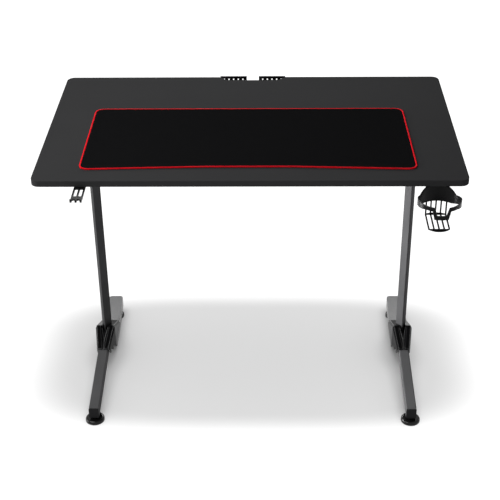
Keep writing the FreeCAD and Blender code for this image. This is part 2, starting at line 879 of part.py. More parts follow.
def make_boots(foot):
    shell = boot_loft("BootOutside", "0", "boot_seam / 2")
    cavity = boot_loft("BootInside", "boot_wall", "-boot_wall")
    column = column_prism("BootColumnHole", "boot_clearance", "0", "2 * boot_peak_height")
    bar = bar_prism("BootBarHole", f"({BAR_FRONT} - overrun)", "column_setback", "(-boot_clearance)")
    right = cut(shell, cavity, boot_hem(), column, bar, foot, boot_notch(), boot_bevel())
    inner = mirrored(right, LEG_X)
    pair(right, "outer_boot")
    pair(inner, "inner_boot")


# Cup holder, one moulded cage: ring, posts, slatted floor and flange
def cup_floor():
    half = "(2 * cup_post_pitch + cup_post_width / 2)"
    bottom = f"({CUP_TOP} - cup_floor_drop)"
    at_axis = {"x": CUP_X, "z": bottom}
    circle = cylinder("FloorBack", "cup_radius", "cup_floor_thickness", y=CUP_Y, **at_axis)
    turn = f"({CUP_Y} - cup_floor_lead + cup_floor_nose_radius)"
    nose = cylinder("FloorNose", "cup_floor_nose_radius", "cup_floor_thickness", y=turn, **at_axis)
    rear = box("FloorRear", f"2 * {half}", "2 * cup_radius", "cup_floor_thickness",
               x=f"{CUP_X} - {half}", y=turn, z=bottom)
    strip = box("FloorStrip", f"2 * {half}", "2 * cup_radius", "cup_floor_thickness",
                x=f"{CUP_X} - {half}", y=f"{CUP_Y} - cup_radius", z=bottom)
    front = "(cup_floor_front_rim - cup_floor_lead)"
    back = "(cup_radius - cup_floor_rear_rim)"
    slots = [
        box("FloorSlot", "cup_post_pitch - cup_post_width", f"{back} - {front}",
            "cup_floor_thickness + 2 * overrun", y=f"{CUP_Y} + {front}", z=f"{bottom} - overrun",
            x=f"{CUP_X} + {number} * cup_post_pitch + cup_post_width / 2")
        for number in range(-2, 2)
    ]
    outline = joined("MultiFuse", nose, rear)
    return cut(joined("MultiCommon", circle, strip, outline), *slots)


def cup_posts():
    middle = "(cup_radius - cup_wall / 2)"
    height = "cup_floor_drop - cup_rear_height + cup_wall"
    posts = []
    for number in range(-2, 3):
        across = f"{number} * cup_post_pitch"
        along = f"sqrt({middle} ^ 2 - ({across}) ^ 2)"
        posts.append(box("Post", "cup_post_width", "cup_wall", height,
                         x=f"{CUP_X} + {across} - cup_post_width / 2",
                         y=f"{CUP_Y} + {along} - cup_wall / 2", z=f"{CUP_TOP} - cup_floor_drop"))
    return posts


def make_cup_holder():
    spot = {"x": CUP_X, "y": CUP_Y}
    bottom = f"{CUP_TOP} - cup_rear_height"
    full = "cup_rear_height + cup_flange_thickness"
    bore = cylinder("CupBore", "cup_radius - cup_wall", f"{full} + 2 * overrun",
                    z=f"{bottom} - overrun", **spot)
    tube = cut(cylinder("CupTube", "cup_radius", full, z=bottom, **spot), bore)

    out = "(cup_radius + overrun)"
    right = [
        ("cup_dip_floor / 2", "-cup_dip_depth"),
        ("cup_dip_mouth / 2", "-cup_front_height"),
        ("cup_front_half", "-cup_front_height"),
        (out, "-cup_side_height"),
        (out, "-cup_rim_drop"),
        ("cup_notch_mouth / 2", "-cup_rim_drop"),
        ("cup_notch_floor / 2", "-cup_notch_depth"),
    ]
    left = [(f"-{across}", along) for across, along in reversed(right)]
    band = block("CupBand", "XZ_Plane", [right + left], out, z=CUP_TOP, **spot)
    wall_loop = [
        ("0", "-cup_rim_drop"),
        ("cup_saddle_run", "-cup_saddle_drop"),
        ("cup_flange_start", "cup_flange_thickness"),
        (out, "cup_flange_thickness"),
        (out, "-cup_rear_height"),
        ("cup_rear_run", "-cup_rear_height"),
        ("0", "-cup_side_height"),
    ]
    wall = block("CupWall", "YZ_Plane", [wall_loop], f"2 * {out}", "Symmetric", z=CUP_TOP, **spot)

    half = "cup_flange_width / 2"
    end = "(cup_standoff + cup_flange_length)"
    near = "cup_flange_start"
    flange_loop = [(f"-{half}", near), (half, near), (half, end), (f"-{half}", end)]
    flange = block("CupFlange", "XY_Plane", [flange_loop], "cup_flange_thickness", z=CUP_TOP, **spot)
    rounded(flange, corner_test(along=end), "cup_flange_radius")
    start = "(cup_radius - cup_wall)"
    rib_loop = [(start, "0"), (f"{start} + cup_rib_run", "0"), (start, "-cup_rib_drop")]
    aside = "(cup_screw_spacing / 2 - screw_head_radius - cup_rib_gap - cup_rib_thickness / 2)"
    ribs = [
        block("CupRib", "YZ_Plane", [rib_loop], "cup_rib_thickness", "Symmetric",
              x=f"{CUP_X} {side} {aside}", y=CUP_Y, z=CUP_TOP)
        for side in "+-"
    ]
    holes = screw_holes(cup_screw_places(), CUP_TOP, "cup_flange_thickness")
    ring = [joined("MultiCommon", tube, band), joined("MultiCommon", tube, wall), cut(flange, bore, *holes)]
    cage = joined("MultiFuse", *ring, *ribs, *cup_posts(), cup_floor())
    cage.Refine = True
    node(cage, "cup_holder")


# Headphone hook, a flat arm with two windows and three turned-up prongs
def make_hook():
    windows = f"({FRONT_EDGE} - hook_root_reach)"
    crossbar = f"({windows} - hook_window_length)"
    gaps = f"({crossbar} - hook_bar_depth)"
    tip = f"({gaps} - hook_prong_length)"
    profile = [
        (f"{FRONT_EDGE} + hook_root_length", "-hook_thickness"),
        (f"{FRONT_EDGE} + hook_root_length", "0"),
        (f"{tip} + hook_lip_thickness", "0"),
        (f"{tip} + hook_lip_thickness", "hook_lip_rise"),
        (tip, "hook_lip_rise"),
        (tip, "-hook_thickness"),
    ]
    arm = block("HookArm", "YZ_Plane", [profile], "hook_width", "Symmetric", x=HOOK_X, z=UNDERSIDE)
    bend_y = worth(tip)
    bend_z = worth("-hook_thickness")
    slack = worth("hook_thickness") * SLACK_SHARE
    bend = lambda run, middle: abs(middle.y - bend_y) + abs(middle.z - bend_z) < slack
    rounded(arm, bend, "hook_bend_radius")

    inner = "hook_rib_width / 2"
    outer = "(hook_width / 2 - hook_rib_width)"
    height = "2 * (hook_thickness + hook_lip_rise + overrun)"
    tools = []
    for start, end, radius in (
        (windows, crossbar, "hook_window_radius"),
        (gaps, f"({tip} - overrun)", "hook_gap_radius"),
    ):
        loop = [(inner, start), (inner, end), (outer, end), (outer, start)]
        twin = [(f"-{across}", along) for across, along in loop]
        tool = block("HookOpenings", "XY_Plane", [loop, twin], height, "Symmetric", x=HOOK_X, z=UNDERSIDE)
        tool.AllowCompound = True
        rounded(tool, upright, radius)
        tools.append(tool)
    holes = screw_holes(hook_screw_places(), f"{UNDERSIDE} - hook_thickness", "hook_thickness")
    node(cut(arm, *tools, *holes), "headphone_hook")


# Cable trays, each a folded strip with a slotted fence
def make_trays():
    for side, sign in SIDES.items():
        width = f"{side}_tray_width"
        near = "tray_gap / 2" if sign > 0 else f"-tray_gap / 2 - {width}"
        profile = [
            (f"{RECESS_EDGE} - tray_flange_length", "0"),
            (f"{RECESS_EDGE} - tray_flange_length", "-tray_thickness"),
            (RECESS_EDGE, "-tray_thickness"),
            (f"{RECESS_EDGE} + tray_drop", "-tray_thickness - tray_drop"),
            (TRAY_BACK, "-tray_thickness - tray_drop"),
            (TRAY_BACK, "tray_fence_height"),
            (f"{TRAY_BACK} - tray_thickness", "tray_fence_height"),
            (f"{TRAY_BACK} - tray_thickness", "-tray_drop"),
            (f"{RECESS_EDGE} + tray_drop", "-tray_drop"),
            (RECESS_EDGE, "0"),
        ]
        strip = block("Tray", "YZ_Plane", [profile], width, x=near, z=UNDERSIDE)
        count = int((worth(width) - worth("tray_slot_pitch")) // worth("tray_slot_pitch")) + 1
        first = f"{near} + ({width} - {count - 1} * tray_slot_pitch - tray_slot_width) / 2"
        slots = [
            box("TraySlot", "tray_slot_width", "tray_thickness + 2 * overrun", "tray_slot_height",
                x=f"{first} + {number} * tray_slot_pitch", y=f"{TRAY_BACK} - tray_thickness - overrun",
                z=f"{UNDERSIDE} - tray_drop + tray_slot_foot")
            for number in range(count)
        ]
        holes = screw_holes(tray_screw_places(side), f"{UNDERSIDE} - tray_thickness", "tray_thickness")
        node(cut(strip, *slots, *holes), f"{side}_cable_tray")


# Fasteners, one group for each kind of joint
def make_fasteners():
    rails = [
        screw(x, y, f"{UNDERSIDE} - rail_gauge", "rail_gauge")
        for sign in SIDES.values()
        for x, y in rail_screw_places(sign)
    ]
    node(joined("Compound", *rails), "rail_screws")
    plates = [
        bolt("plate_thickness + rail_gauge", x=x, y=y, z=PLATE_BOTTOM)
        for sign in SIDES.values()
        for x, y in plate_bolt_places(sign)
    ]
    node(joined("Compound", *plates), "plate_bolts")
    face = f"({LEG_X} - rail_web_width / 2 + rail_gauge)"
    beams = []
    for y, z in beam_bolt_places():
        beams.append(bolt("rail_gauge + beam_end_block", turn=AGAINST_X, x=face, y=y, z=z))
        beams.append(bolt("rail_gauge + beam_end_block", turn=ALONG_X, x=f"-{face}", y=y, z=z))
    node(joined("Compound", *beams), "beam_bolts")
    cups = [screw(x, y, CUP_TOP, "cup_flange_thickness") for x, y in cup_screw_places()]
    node(joined("Compound", *cups), "cup_holder_screws")
    hooks = [screw(x, y, f"{UNDERSIDE} - hook_thickness", "hook_thickness") for x, y in hook_screw_places()]
    node(joined("Compound", *hooks), "hook_screws")
    trays = [
        screw(x, y, f"{UNDERSIDE} - tray_thickness", "tray_thickness")
        for side in SIDES
        for x, y in tray_screw_places(side)
    ]
    node(joined("Compound", *trays), "tray_screws")


make_desktop()
make_mat()
make_columns()
make_rails()
make_beams()
make_front_feet()
rear_foot = make_rear_feet()
make_pads()
make_boots(rear_foot)
make_cup_holder()
make_hook()
make_trays()
make_fasteners()
document.recompute()

# Every object is sound before any file is written
for thing in document.Objects:
    if "Invalid" in thing.State or "Error" in thing.State:
        raise RuntimeError(f"{thing.Label}: {thing.State}")
for thing in nodes:
    if thing.Shape.isNull() or not thing.Shape.isValid() or not thing.Shape.Solids:
        raise RuntimeError(f"{thing.Label} is not a sound solid")
os.makedirs("parts", exist_ok=True)
for thing in nodes:
    thing.Shape.exportStep(f"parts/{thing.Label}.step")
    print(thing.Label, len(thing.Shape.Solids), round(thing.Shape.Volume))
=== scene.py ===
"""Gaming desk: finishes for its solids, a stitched cloth mat, and the studio that it stands in."""

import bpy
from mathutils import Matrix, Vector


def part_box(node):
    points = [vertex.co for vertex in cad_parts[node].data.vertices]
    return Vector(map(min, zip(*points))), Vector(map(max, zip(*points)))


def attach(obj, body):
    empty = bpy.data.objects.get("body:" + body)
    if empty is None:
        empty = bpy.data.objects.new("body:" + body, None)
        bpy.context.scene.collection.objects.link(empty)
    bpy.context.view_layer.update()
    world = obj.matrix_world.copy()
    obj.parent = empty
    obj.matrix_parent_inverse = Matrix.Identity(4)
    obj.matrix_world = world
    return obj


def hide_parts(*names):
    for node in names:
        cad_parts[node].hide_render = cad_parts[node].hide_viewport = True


bl_info = {
    "name": "Gaming Desk",
    "version": (1, 0, 0),
    "blender": (4, 5, 0),
    "location": "View3D > Sidebar > Desk",
    "description": "Finishes, stitched mat and studio of a gaming desk",
    "category": "Object",
}

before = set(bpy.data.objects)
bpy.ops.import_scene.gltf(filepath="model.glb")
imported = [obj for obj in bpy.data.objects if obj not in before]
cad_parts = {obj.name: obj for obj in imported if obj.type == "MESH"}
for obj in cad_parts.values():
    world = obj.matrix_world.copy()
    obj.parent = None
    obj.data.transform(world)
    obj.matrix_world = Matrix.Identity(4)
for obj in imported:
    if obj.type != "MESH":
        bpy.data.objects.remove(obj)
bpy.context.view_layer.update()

import math

import bpy
import numpy as np
from bpy.props import FloatProperty, FloatVectorProperty, PointerProperty
from mathutils import Matrix, Vector

BODY = "desk"
SIDES = ("left", "right")
ENDS = ("front", "rear")
MAT_LOW, MAT_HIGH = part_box("mat_binding")
MAT_MIDDLE = [(low + high) / 2 for low, high in zip(MAT_LOW, MAT_HIGH)]

# Cloth of the mat: points along each bend and round the outline, and its rings from the middle out
BEND_STEPS = 33
CLOTH_STEPS = 480
CLOTH_RINGS = np.concatenate([np.linspace(0.02, 0.98, 26), [0.993, 1.0]])
RIM_RING = 0.995
# Two slow waves, in radians per metre along X and along Y, and the power with which they die out at the edge
SLOW_WAVES = np.array([(19.0, -11.0), (7.0, 31.0)])
WAVE_FADE = 6
# Shares of the thread's radius by which the cloth's rim is tucked in and pressed down
RIM_TUCK = 0.6
RIM_DROP = 1.2

# Threads of the mat's edge: points for a first measure of the outline, and sides of a thread's tube
GIRTH_STEPS = 64
THREAD_SIDES = 6
# A stitch: angles of its ends in degrees, points along it, and the powers that square its ellipse
STITCH_ANGLES = (158, -80)
STITCH_STEPS = 9
STITCH_SQUARE_OUT = 0.6
STITCH_SQUARE_UP = 0.5
# Shares of the thread's radius: half the width of a stitch, and how far it is lifted
STITCH_WIDTH = 1.15
STITCH_LIFT = 0.4
# The looper thread: stitches and points in one swing, then shares of the thread's radius, and its flatness
SWING_STITCHES = 2
SWING_STEPS = 4
LOOPER_SWAY = 0.45
LOOPER_RADIUS = 0.75
LOOPER_FLATNESS = 0.8

# Materials: where most values of a noise lie, and the drift of roughness about its middle
NOISE_LOW, NOISE_HIGH = 0.3, 0.7
ROUGHNESS_DRIFT = 0.08
# Cosine of a normal's turn on a flat face and on an edge, and the gloss of a polished edge
FACE_TURN, EDGE_TURN = 0.995, 0.93
POLISH_ROUGHNESS = 0.22
POLISH_IOR = 2.6

# Camera: width of its sensor in millimetres, and how far it sees
SENSOR_WIDTH = 36
SIGHT_END = 100

# Soft boxes, and the cones in degrees and ways of travel of the even lights
TOP_BOX = {"place": (-1.3, -0.7, 2.3), "target": (-0.25, -0.05, 0.75), "width": 1.6, "height": 1.6}
BACK_PANEL = {"place": (-0.05, 2.7, 1.85), "target": (0, 0.1, 0.1), "width": 2.2, "height": 0.4}
UNDER_BOX = {"place": (-0.36, 0.05, 0.48), "target": (0.40, 0.05, 0.48), "width": 0.4, "height": 0.4}
SIDE_CONE, SIDE_TRAVEL = 40, (1, -0.05, -0.03)
KEY_CONE, DOME_CONE, FLOOR_TRAVEL = 60, 150, (0, 0.05, -1)
SHADING_ENDINGS = ("foot", "boot", "cap", "pad")

# Floor: half its width, its colour, and the middle and half sizes of the grey field about the legs,
# where the floor's own light is lower: a painted shadow of the desk
FLOOR_HALF = 14.0
FLOOR_COLOUR = (0.6, 0.6, 0.6, 1)
SHADOW_FIELD_MIDDLE = (0, 0.07, 0)
SHADOW_FIELD_HALF = (0.70, 0.35, 1)
SHADOW_FIELD_START, SHADOW_FIELD_END = 0.49, 1.0

# Surroundings: heights of view between which they go from white to their tone overhead
SKY_LOW, SKY_HIGH = 0.35, 0.85
WHITE = (1, 1, 1, 1)
OVERHEAD = (0.8, 0.8, 0.8, 1)


# Settings that a user would change
def colour(name, description, default):
    return FloatVectorProperty(
        name=name, description=description, subtype="COLOR", size=3, min=0, max=1, default=default)


def length(name, description, default):
    return FloatProperty(
        name=name, description=description, unit="LENGTH", precision=5, default=default)


def angle(name, description, default):
    return FloatProperty(name=name, description=description, subtype="ANGLE", default=default)


def power(name, description, default):
    return FloatProperty(name=name, description=description, subtype="POWER", default=default)


def strength(name, description, default):
    return FloatProperty(name=name, description=description, default=default)


class DeskFinishes(bpy.types.PropertyGroup):
    """Colours of the desk's materials."""

    worktop: colour("Worktop", "Foil on the worktop", (0.034, 0.034, 0.035))
    steel: colour("Powder coat", "Paint of posts, rails and beams", (0.065, 0.065, 0.067))
    # Feet: a lighter copy of the posts' powder coat, painted light that brightens the feet's tops
    feet: colour("Feet", "Paint of the front and rear feet", (0.090, 0.090, 0.092))
    boot: colour("Boots", "Plastic shells at the feet of the posts", (0.004, 0.004, 0.0043))
    fitting: colour("Fittings", "Plastic of the cup holder, hook and trays", (0.004, 0.004, 0.0043))
    cap: colour("End caps", "Plugs in the front feet", (0.018, 0.018, 0.019))
    pad: colour("Pads", "Plastic of the round feet", (0.004, 0.004, 0.004))
    cloth: colour("Cloth", "Face of the mouse mat", (0.0090, 0.0090, 0.0095))
    thread: colour("Thread", "Overlock thread round the mat", (0.78, 0.006, 0.016))
    zinc: colour("Zinc", "Plated screws, bolts and stems", (0.42, 0.42, 0.43))


class DeskMat(bpy.types.PropertyGroup):
    """Sizes of the mouse mat and of its stitched edge."""

    reach: FloatVectorProperty(
        name="Reach",
        description="How far the cloth lies beyond its solid at the left, right, front and back",
        unit="LENGTH", precision=5, size=4, default=(0.0025, 0.0038, 0.0035, 0.0060))
    lean: length("Lean", "How far the right end is turned out in front and in at the back", 0.0020)
    waist_width: length("Waist width", "Straight middle of the drawn-in front edge", 0.200)
    waist_depth: length("Waist depth", "How far the front edge is drawn in", 0.0120)
    corner: length("Corner", "Distance from a corner to the start of its round", 0.026)
    waist_ease: length("Waist ease", "Half length of the soft bend at each end of the waist", 0.020)
    hem: length("Hem", "Width of the stitched edge", 0.0022)
    thread: length("Thread", "Radius of the overlock thread", 0.00050)
    pitch: length("Pitch", "Distance from stitch to stitch", 0.00115)
    swell: length("Swell", "Height of the cloth's slow waves", 0.00012)


class DeskStudio(bpy.types.PropertyGroup):
    """Camera, lamps and floor."""

    lens: FloatProperty(
        name="Lens", description="Focal length on a 36 mm sensor", subtype="DISTANCE_CAMERA",
        default=83.678)
    eye: FloatVectorProperty(
        name="Eye", description="Place of the camera", subtype="XYZ", unit="LENGTH",
        default=(0.04807, -2.60055, 1.98316))
    yaw: angle("Yaw", "Turn of the camera to the left", 0.02061)
    pitch: angle("Pitch", "Tilt of the camera downwards", 0.54625)
    roll: angle("Roll", "Lean of the camera", -0.01128)
    top: power("Top", "Power of the soft box overhead", 43)
    side: strength("Side", "Strength of the low light from the left", 3.2)
    under: power("Under", "Power of the soft box between the posts", 12.0)
    back: power("Back", "Power of the panel behind the desk", 34)
    floor_key: strength("Floor key", "Strength of the floor's light that only the feet shade", 2.4)
    floor_fill: strength("Floor fill", "Strength of the wide light on the floor", 1.5)
    sky: strength("Sky", "Strength of the surroundings", 0.10)
    # The floor's own light is lower between the legs than beyond them, a painted shadow of the desk
    floor: strength("Floor", "Own light of the floor between the legs", 0.03)
    floor_far: strength("Floor far", "Own light of the floor beyond the legs", 0.45)


# Meshes
def mesh_object(name, points, faces, smooth=True):
    """A piece from an array of points and a list of faces."""
    mesh = bpy.data.meshes.new(name)
    mesh.from_pydata(points.reshape(-1, 3).tolist(), [], faces)
    mesh.validate()
    if smooth:
        mesh.shade_smooth()
    piece = bpy.data.objects.new(name, mesh)
    bpy.context.scene.collection.objects.link(piece)
    return piece


def grid_faces(rows, columns, wrap_rows=False, wrap_columns=False):
    """Quads of a grid of points, numbered row by row, with either direction closed on request."""
    numbers = np.arange(rows * columns).reshape(rows, columns)
    if wrap_rows:
        numbers = np.vstack([numbers, numbers[:1]])
    if wrap_columns:
        numbers = np.hstack([numbers, numbers[:, :1]])
    corners = [numbers[:-1, :-1], numbers[:-1, 1:], numbers[1:, 1:], numbers[1:, :-1]]
    return np.stack(corners, axis=-1).reshape(-1, 4)


# Mouse mat
def mat_outline(count):
    """Points at equal steps round the mat, with their outward normals, and the way round.

    Each corner of a six-cornered outline is replaced by a parabola: with t from 0 to 1, a point is
    (1 - t)^2 times the start, 2t(1 - t) times the corner and t^2 times the end of the bend."""
    mat = bpy.context.scene.desk_mat
    left, right = MAT_LOW.x - mat.reach[0], MAT_HIGH.x + mat.reach[1]
    front, back = MAT_LOW.y - mat.reach[2], MAT_HIGH.y + mat.reach[3]
    middle = MAT_MIDDLE[0]
    waist = front + mat.waist_depth
    half = mat.waist_width / 2
    corners = np.array([
        (left, front), (middle - half, waist), (middle + half, waist),
        (right + mat.lean, front - mat.lean / 2), (right - mat.lean, back), (left, back),
    ])
    eases = np.where(np.isclose(corners[:, 1], waist), mat.waist_ease, mat.corner)[:, None]
    before = np.roll(corners, 1, axis=0) - corners
    after = np.roll(corners, -1, axis=0) - corners
    start = (corners + eases * before / np.linalg.norm(before, axis=1, keepdims=True))[:, None]
    end = (corners + eases * after / np.linalg.norm(after, axis=1, keepdims=True))[:, None]
    step = np.linspace(0, 1, BEND_STEPS)[None, :, None]
    bends = (1 - step) ** 2 * start + 2 * step * (1 - step) * corners[:, None] + step ** 2 * end
    line = bends.reshape(-1, 2)
    line = np.vstack([line, line[:1]])
    walked = np.concatenate([[0], np.cumsum(np.linalg.norm(np.diff(line, axis=0), axis=1))])
    stations = np.linspace(0, walked[-1], count, endpoint=False)
    points = np.stack([np.interp(stations, walked, line[:, axis]) for axis in (0, 1)], axis=1)
    tangents = np.roll(points, -1, axis=0) - np.roll(points, 1, axis=0)
    tangents /= np.linalg.norm(tangents, axis=1, keepdims=True)
    normals = np.stack([tangents[:, 1], -tangents[:, 0]], axis=1)
    return points, normals, walked[-1]


def stitch_count():
    """How many stitches go round the mat, not rounded."""
    girth = mat_outline(GIRTH_STEPS)[2]
    return girth / bpy.context.scene.desk_mat.pitch


def tube_turns():
    """Angles round a thread's tube."""
    return np.linspace(0, 2 * np.pi, THREAD_SIDES, endpoint=False)


def mat_cloth():
    """The cloth: rings from the middle out to the rim on top, and back to the middle below.

    A ring is the outline scaled about the middle. The top is flat, with slow waves that die out
    towards the edge, and its last ring is pressed down."""
    mat = bpy.context.scene.desk_mat
    points, normals, _ = mat_outline(CLOTH_STEPS)
    middle = np.array(MAT_MIDDLE[:2])
    rim = points - normals * mat.thread * RIM_TUCK
    rings = CLOTH_RINGS[:, None]
    top = middle + rings[..., None] * (rim - middle)
    waves = np.sin(top @ SLOW_WAVES).sum(axis=-1)
    drop = np.where(rings > RIM_RING, mat.thread * RIM_DROP, 0)
    height = MAT_HIGH.z - drop + mat.swell * waves * (1 - rings ** WAVE_FADE)
    upper = np.concatenate([top, height[..., None]], axis=-1)
    lower = np.concatenate([top[::-1], np.full_like(height, MAT_LOW.z)[..., None]], axis=-1)
    rows = np.concatenate([upper, lower])
    faces = grid_faces(len(rows), CLOTH_STEPS, wrap_columns=True).tolist()
    first = np.arange(CLOTH_STEPS)
    last = first + (len(rows) - 1) * CLOTH_STEPS
    middles = [first[::-1].tolist(), last.tolist()]
    return mesh_object("mat_cloth", rows, faces + middles, smooth=False)


def overlock_stitches():
    """The stitched edge: thread loops side by side, each a tube bent round the hem.

    Across the hem a loop follows a squared ellipse, the signed powers of cosine and sine, and along
    the hem it leans by one pitch."""
    mat = bpy.context.scene.desk_mat
    count = round(stitch_count())
    points, normals, _ = mat_outline(count)
    tangents = np.stack([-normals[:, 1], normals[:, 0]], axis=1)
    angles = np.radians(np.linspace(*STITCH_ANGLES, STITCH_STEPS))
    half_width = mat.hem / 2
    half_height = (MAT_HIGH.z - MAT_LOW.z) / 2

    def squared(wave, exponent):
        return np.sign(wave) * np.abs(wave) ** exponent

    reach = half_width + mat.thread
    out = reach * squared(np.cos(angles), STITCH_SQUARE_OUT) - reach
    up = half_height * squared(np.sin(angles), STITCH_SQUARE_UP)
    lean = mat.pitch * np.linspace(0.5, -0.5, STITCH_STEPS)
    path_out = np.gradient(out)
    path_up = np.gradient(up)
    size = np.hypot(path_out, path_up)
    side_out = -path_up / size
    side_up = path_out / size
    turns = tube_turns()
    swing = mat.thread * np.sin(turns)
    along = lean[:, None] + mat.thread * STITCH_WIDTH * np.cos(turns)
    outward = out[:, None] + side_out[:, None] * swing
    lifted = MAT_MIDDLE[2] + mat.thread * STITCH_LIFT
    height = up[:, None] + side_up[:, None] * swing + lifted
    flat = (points[:, None, None] + outward[None, ..., None] * normals[:, None, None]
            + along[None, ..., None] * tangents[:, None, None])
    heights = np.broadcast_to(height[None, ..., None], flat.shape[:3] + (1,))
    loops = np.concatenate([flat, heights], axis=-1)
    one = grid_faces(STITCH_STEPS, THREAD_SIDES, wrap_columns=True)
    firsts = np.arange(count)[:, None, None] * STITCH_STEPS * THREAD_SIDES
    return mesh_object("mat_stitches", loops, (one[None] + firsts).reshape(-1, 4).tolist())


def looper_thread():
    """The thread on the hem's inner line: one closed tube that swings to and fro over the stitches.

    Its middle line is the outline moved inwards by the hem, the thread's radius and the sway."""
    mat = bpy.context.scene.desk_mat
    count = SWING_STEPS * round(stitch_count() / SWING_STITCHES)
    points, normals, _ = mat_outline(count)
    inward = np.arange(count) % SWING_STEPS < SWING_STEPS // 2
    sway = np.where(inward, 1, -1) * mat.thread * LOOPER_SWAY
    line = points - normals * (mat.hem + mat.thread + sway)[:, None]
    turns = tube_turns()
    radius = mat.thread * LOOPER_RADIUS
    across = line[:, None] + radius * np.cos(turns)[None, :, None] * normals[:, None]
    rise = radius * np.sin(turns) * LOOPER_FLATNESS
    height = np.broadcast_to(MAT_HIGH.z + rise, across.shape[:2])
    tube = np.concatenate([across, height[..., None]], axis=-1)
    faces = grid_faces(count, THREAD_SIDES, wrap_rows=True, wrap_columns=True)
    return mesh_object("mat_chain", tube, faces.tolist())


# Node groups
def node_group(name, inputs, outputs):
    """A new shader node group with the given inputs and float outputs, and its two end nodes."""
    tree = bpy.data.node_groups.new(name, "ShaderNodeTree")
    for label, kind, default in inputs:
        socket = tree.interface.new_socket(label, in_out="INPUT", socket_type=kind)
        if default is not None:
            socket.default_value = default
    for label in outputs:
        tree.interface.new_socket(label, in_out="OUTPUT", socket_type="NodeSocketFloat")
    return tree, tree.nodes.new("NodeGroupInput"), tree.nodes.new("NodeGroupOutput")


def math_node(tree, operation, *values):
    """A Math node on numbers and sockets, and its output."""
    node = tree.nodes.new("ShaderNodeMath")
    node.operation = operation
    for socket, value in zip(node.inputs, values):
        if isinstance(value, (int, float)):
            socket.default_value = value
        else:
            tree.links.new(value, socket)
    return node.outputs[0]


def vector_node(tree, operation, first, second=None):
    """A Vector Math node on one or two sockets."""
    node = tree.nodes.new("ShaderNodeVectorMath")
    node.operation = operation
    tree.links.new(first, node.inputs[0])
    if second:
        tree.links.new(second, node.inputs[1])
    return node.outputs


def noise_node(tree, vector, scale, detail):
    """A noise whose scale comes from a socket."""
    node = tree.nodes.new("ShaderNodeTexNoise")
    node.inputs["Detail"].default_value = detail
    tree.links.new(vector, node.inputs["Vector"])
    tree.links.new(scale, node.inputs["Scale"])
    return node.outputs["Fac"]


def grain_group():
    """Fine grain of paint, foil and moulded plastic: a height, and a slow variation of shade."""
    if "surface_grain" in bpy.data.node_groups:
        return bpy.data.node_groups["surface_grain"]
    tree, start, end = node_group("surface_grain", [
        ("Vector", "NodeSocketVector", None),
        ("Scale", "NodeSocketFloat", 1500.0),
        ("Cloud Scale", "NodeSocketFloat", 9.0),
    ], ["Height", "Cloud"])
    place, scale = start.outputs["Vector"], start.outputs["Scale"]
    cell_share = 0.6
    fine = noise_node(tree, place, scale, detail=3.0)
    cells = tree.nodes.new("ShaderNodeTexVoronoi")
    tree.links.new(place, cells.inputs["Vector"])
    tree.links.new(math_node(tree, "MULTIPLY", scale, cell_share), cells.inputs["Scale"])
    height = math_node(tree, "MULTIPLY_ADD", cells.outputs["Distance"], -cell_share, fine)
    tree.links.new(height, end.inputs["Height"])
    cloud = noise_node(tree, place, start.outputs["Cloud Scale"], detail=4.0)
    tree.links.new(cloud, end.inputs["Cloud"])
    return tree


def weave_group():
    """Plain weave of the mat's face: threads that cross over each other, as a height and a mask.

    Along X and Y the threads are sines. The height is the sum of their sizes and a share of their
    product, and the gap is one less half that sum."""
    if "cloth_weave" in bpy.data.node_groups:
        return bpy.data.node_groups["cloth_weave"]
    tree, start, end = node_group("cloth_weave", [
        ("Vector", "NodeSocketVector", None),
        ("Threads", "NodeSocketFloat", 1400.0),
    ], ["Height", "Gap"])
    over_share = 0.35
    split = tree.nodes.new("ShaderNodeSeparateXYZ")
    tree.links.new(start.outputs["Vector"], split.inputs[0])
    phase = math_node(tree, "MULTIPLY", start.outputs["Threads"], math.pi)
    warp = math_node(tree, "SINE", math_node(tree, "MULTIPLY", split.outputs["X"], phase))
    weft = math_node(tree, "SINE", math_node(tree, "MULTIPLY", split.outputs["Y"], phase))
    over = math_node(tree, "MULTIPLY", warp, weft)
    sizes = [math_node(tree, "ABSOLUTE", thread) for thread in (warp, weft)]
    ridge = math_node(tree, "ADD", *sizes)
    height = math_node(tree, "MULTIPLY_ADD", over, over_share, ridge)
    tree.links.new(height, end.inputs["Height"])
    gap = math_node(tree, "SUBTRACT", 1.0, math_node(tree, "MULTIPLY", ridge, 0.5))
    tree.links.new(gap, end.inputs["Gap"])
    return tree


# Materials
def principled(name):
    """A new material with a Principled shader, and the Object coordinates of its piece."""
    material = bpy.data.materials.new(name)
    material.use_nodes = True
    tree = material.node_tree
    tree.nodes.clear()
    shader = tree.nodes.new("ShaderNodeBsdfPrincipled")
    output = tree.nodes.new("ShaderNodeOutputMaterial")
    tree.links.new(shader.outputs["BSDF"], output.inputs["Surface"])
    place = tree.nodes.new("ShaderNodeTexCoord").outputs["Object"]
    return material, tree, shader, place


def placed_group(tree, source, place, **values):
    """A node group in a material, on the material's coordinates and with its own values."""
    node = tree.nodes.new("ShaderNodeGroup")
    node.node_tree = source
    tree.links.new(place, node.inputs["Vector"])
    for name, value in values.items():
        node.inputs[name.replace("_", " ")].default_value = value
    return node


def ramp_node(tree, factor, low, low_colour, high, high_colour):
    """A colour that runs from one to another as a factor runs from low to high."""
    node = tree.nodes.new("ShaderNodeValToRGB")
    ends = ((low, low_colour), (high, high_colour))
    for element, (position, shade) in zip(node.color_ramp.elements, ends):
        element.position = position
        element.color = shade
    tree.links.new(factor, node.inputs["Fac"])
    return node.outputs["Color"]


